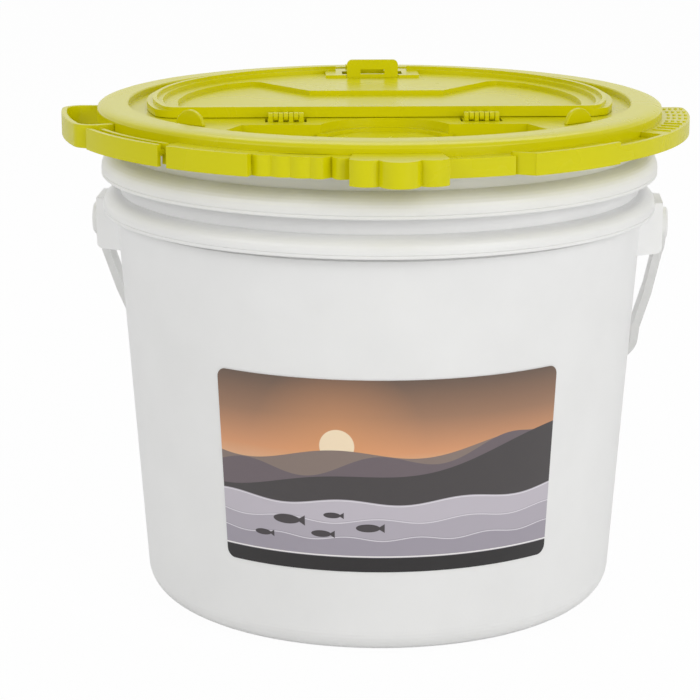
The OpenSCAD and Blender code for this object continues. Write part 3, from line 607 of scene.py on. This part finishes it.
class BAITBUCKET_OT_liner(bpy.types.Operator):
    """Finishes the foam liner"""

    bl_idname = "bait_bucket.liner"
    bl_label = "Foam liner"

    def execute(self, context):
        give(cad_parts["foam_liner"], expanded_bead_foam())
        smooth(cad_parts["foam_liner"])
        return {"FINISHED"}


class BAITBUCKET_OT_label(bpy.types.Operator):
    """Makes the printed label with its rounded corners"""

    bl_idname = "bait_bucket.label"
    bl_label = "Label"

    def execute(self, context):
        settings = context.scene.bait_bucket_label
        corner = settings.corner
        # rows close together near the rounded corners, each as wide as the outline is there
        turns = np.sin(np.linspace(0.0, math.pi / 2, 9))
        edge = corner * (1.0 - turns[::-1])
        between = np.linspace(corner, settings.height - corner, 25)[1:-1]
        height = np.sort(np.concatenate([edge, between, settings.height - edge[::-1]]))
        inset = np.maximum(0.0, corner - np.minimum(height, settings.height - height))
        half = settings.width / 2 - corner + np.sqrt(np.maximum(corner**2 - inset**2, 0.0))
        share = np.linspace(-1.0, 1.0, 97)
        across = half[:, None] * share[None, :]
        z = settings.low_edge + height
        radius = settings.ground_radius + settings.draft * z
        middle = settings.ground_radius + settings.draft * (settings.low_edge + settings.height / 2)
        angle = across / middle - math.pi / 2
        rows, columns = across.shape
        sheets = []
        for lift in (settings.film, 0.0):
            reach = radius[:, None] + 0.05 * MM + lift
            points = np.stack([reach * np.cos(angle), reach * np.sin(angle), z[:, None] + 0 * angle], -1)
            sheets.append(points.reshape(-1, 3))
        front = grid_faces(rows, columns)
        back = front[:, ::-1] + rows * columns
        grid = np.arange(rows * columns).reshape(rows, columns)
        rim = np.concatenate([grid[0, :-1], grid[:-1, -1], grid[-1, :0:-1], grid[:0:-1, 0]])
        after = np.roll(rim, -1)
        sides = np.stack([after, rim, rim + rows * columns, after + rows * columns], -1)
        faces = np.concatenate([front, back, sides])
        label = mesh_object("printed_label", np.concatenate(sheets), faces)
        label.data.uv_layers.new(name="print_mm")
        # the print is laid out in millimetres from the lower left corner
        u = np.tile((across + settings.width / 2).reshape(-1), 2) / MM
        v = np.tile((height[:, None] + 0 * across).reshape(-1), 2) / MM
        loops = np.empty(len(label.data.loops), int)
        label.data.loops.foreach_get("vertex_index", loops)
        corners = np.stack([u[loops], v[loops]], -1)
        label.data.uv_layers["print_mm"].data.foreach_set("uv", corners.reshape(-1))
        smooth(label, 50.0)
        give(label, printed_film())
        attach(label, "pail_body")
        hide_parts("label")
        return {"FINISHED"}


class BAITBUCKET_OT_bail(bpy.types.Operator):
    """Finishes the bail"""

    bl_idname = "bait_bucket.bail"
    bl_label = "Bail"

    def execute(self, context):
        finish = moulded_bail_plastic(context.scene.bait_bucket_finishes)
        give(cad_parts["bail"], finish)
        smooth(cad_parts["bail"])
        return {"FINISHED"}


class BAITBUCKET_OT_lid(bpy.types.Operator):
    """Finishes the lid's disc, hinges, stops and band"""

    bl_idname = "bait_bucket.lid"
    bl_label = "Lid"

    def execute(self, context):
        settings = context.scene.bait_bucket_finishes
        finish = lime_finish(settings)
        for node in LID_NODES:
            piece = softened(node, "soft_" + node, settings.lid_edge, finish)
            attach(piece, "lid_body")
            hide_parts(node)
        return {"FINISHED"}


class BAITBUCKET_OT_hatch(bpy.types.Operator):
    """Finishes the hatch door"""

    bl_idname = "bait_bucket.hatch"
    bl_label = "Hatch door"

    def execute(self, context):
        settings = context.scene.bait_bucket_finishes
        door = softened("hatch_door", "soft_hatch_door", settings.lid_edge, lime_finish(settings))
        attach(door, "door_body")
        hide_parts("hatch_door")
        return {"FINISHED"}


class BAITBUCKET_OT_latch(bpy.types.Operator):
    """Finishes the latch's thumb plate, arms and nose"""

    bl_idname = "bait_bucket.latch"
    bl_label = "Latch"

    def execute(self, context):
        settings = context.scene.bait_bucket_finishes
        latch = softened("latch", "soft_latch", settings.lid_edge, lime_finish(settings))
        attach(latch, "latch_body")
        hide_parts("latch")
        return {"FINISHED"}


class BAITBUCKET_OT_stage(bpy.types.Operator):
    """Sets up the floor, the lamps and the camera"""

    bl_idname = "bait_bucket.stage"
    bl_label = "Stage"

    def execute(self, context):
        scene = context.scene
        settings = scene.bait_bucket_stage
        # floor that the camera sees nearly white, and that keeps the bucket's shadow
        side = np.linspace(-4.0, 4.0, 9)
        x, y = np.meshgrid(side, side)
        verts = np.stack([x, y, np.zeros_like(x)], -1).reshape(-1, 3)
        floor = mesh_object("studio_floor", verts, grid_faces(9, 9))
        material, tree, shader = new_material("studio_paper")
        shader.inputs["Base Color"].default_value = rgba(settings.floor_color)
        shader.inputs["Roughness"].default_value = 0.9
        shader.inputs["Specular IOR Level"].default_value = 0.2
        path = add(tree, "ShaderNodeLightPath")
        seen = add(
            tree,
            "ShaderNodeMath",
            {"operation": "MULTIPLY", "use_clamp": True},
            {0: path.outputs["Is Camera Ray"], 1: 0.97},
        )
        glow = add(tree, "ShaderNodeEmission", inputs={"Color": (1, 1, 1, 1), "Strength": 1.0})
        mix = add(
            tree,
            "ShaderNodeMixShader",
            inputs={0: seen.outputs[0], 1: shader.outputs["BSDF"], 2: glow.outputs["Emission"]},
        )
        output = next(n for n in tree.nodes if n.type == "OUTPUT_MATERIAL")
        tree.links.new(mix.outputs["Shader"], output.inputs["Surface"])
        give(floor, material)

        world = bpy.data.worlds.new("studio_air")
        world.use_nodes = True
        tree = world.node_tree
        tree.nodes.clear()
        path = add(tree, "ShaderNodeLightPath")
        white = (1, 1, 1, 1)
        air = {"Color": white, "Strength": 0.5 * settings.light_level}
        lit = add(tree, "ShaderNodeBackground", inputs=air)
        seen = add(tree, "ShaderNodeBackground", inputs={"Color": white, "Strength": 1.0})
        either = add(
            tree,
            "ShaderNodeMath",
            {"operation": "MAXIMUM"},
            {0: path.outputs["Is Camera Ray"], 1: path.outputs["Is Transmission Ray"]},
        )
        shown = add(
            tree,
            "ShaderNodeMath",
            {"operation": "MAXIMUM"},
            {0: either.outputs[0], 1: path.outputs["Is Glossy Ray"]},
        )
        mix = add(
            tree,
            "ShaderNodeMixShader",
            inputs={0: shown.outputs[0], 1: lit.outputs["Background"], 2: seen.outputs["Background"]},
        )
        add(tree, "ShaderNodeOutputWorld", inputs={"Surface": mix.outputs["Shader"]})
        scene.world = world

        def lamp(name, place, aim, size, power):
            data = bpy.data.lights.new(name, "AREA")
            data.shape = "RECTANGLE"
            data.size, data.size_y = size
            data.energy = power * settings.light_level
            obj = bpy.data.objects.new(name, data)
            obj.location = place
            obj.rotation_euler = (Vector(aim) - Vector(place)).to_track_quat("-Z", "Y").to_euler()
            scene.collection.objects.link(obj)

        lamp("key_right", (1.5, -1.7, 1.0), (0, 0, 0.12), (1.3, 1.3), 18.5)
        lamp("fill_left", (-1.8, -1.3, 1.3), (0, 0, 0.15), (1.3, 1.3), 13)
        lamp("top_rear", (0.2, 1.3, 1.8), (0, 0, 0.25), (1.6, 0.8), 8)

        turn = settings.swing
        data = bpy.data.cameras.new("photo_camera")
        data.sensor_width = 36.0
        data.lens = settings.lens
        data.clip_start, data.clip_end = 0.05, 50.0
        camera = bpy.data.objects.new("photo_camera", data)
        reach = settings.distance
        camera.location = (-reach * math.sin(turn), -reach * math.cos(turn), settings.eye_height)
        camera.rotation_euler = (math.pi / 2 - settings.tilt, 0.0, settings.pan - turn)
        scene.collection.objects.link(camera)
        scene.camera = camera
        scene.view_settings.view_transform = "Standard"
        return {"FINISHED"}


class BAITBUCKET_PT_panel(bpy.types.Panel):
    """Lists the bucket's pieces and settings"""

    bl_label = "Bait Bucket"
    bl_idname = "BAITBUCKET_PT_panel"
    bl_space_type = "VIEW_3D"
    bl_region_type = "UI"
    bl_category = "Bait Bucket"

    def draw(self, context):
        scene = context.scene
        for group in (scene.bait_bucket_finishes, scene.bait_bucket_label, scene.bait_bucket_stage):
            box = self.layout.box()
            for name in group.__annotations__:
                box.prop(group, name)
        for name in STEPS:
            self.layout.operator("bait_bucket." + name)


CLASSES = (
    BaitBucketFinishes,
    BaitBucketLabel,
    BaitBucketStage,
    BAITBUCKET_OT_pail,
    BAITBUCKET_OT_liner,
    BAITBUCKET_OT_label,
    BAITBUCKET_OT_bail,
    BAITBUCKET_OT_lid,
    BAITBUCKET_OT_hatch,
    BAITBUCKET_OT_latch,
    BAITBUCKET_OT_stage,
    BAITBUCKET_PT_panel,
)
STEPS = ("pail", "liner", "label", "bail", "lid", "hatch", "latch", "stage")


def register():
    for cls in CLASSES:
        bpy.utils.register_class(cls)
    bpy.types.Scene.bait_bucket_finishes = bpy.props.PointerProperty(type=BaitBucketFinishes)
    bpy.types.Scene.bait_bucket_label = bpy.props.PointerProperty(type=BaitBucketLabel)
    bpy.types.Scene.bait_bucket_stage = bpy.props.PointerProperty(type=BaitBucketStage)


def unregister():
    del bpy.types.Scene.bait_bucket_finishes
    del bpy.types.Scene.bait_bucket_label
    del bpy.types.Scene.bait_bucket_stage
    for cls in reversed(CLASSES):
        bpy.utils.unregister_class(cls)


def main():
    """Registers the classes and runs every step."""
    register()
    for name in STEPS:
        getattr(bpy.ops.bait_bucket, name)()


if __name__ == "__main__":
    main()
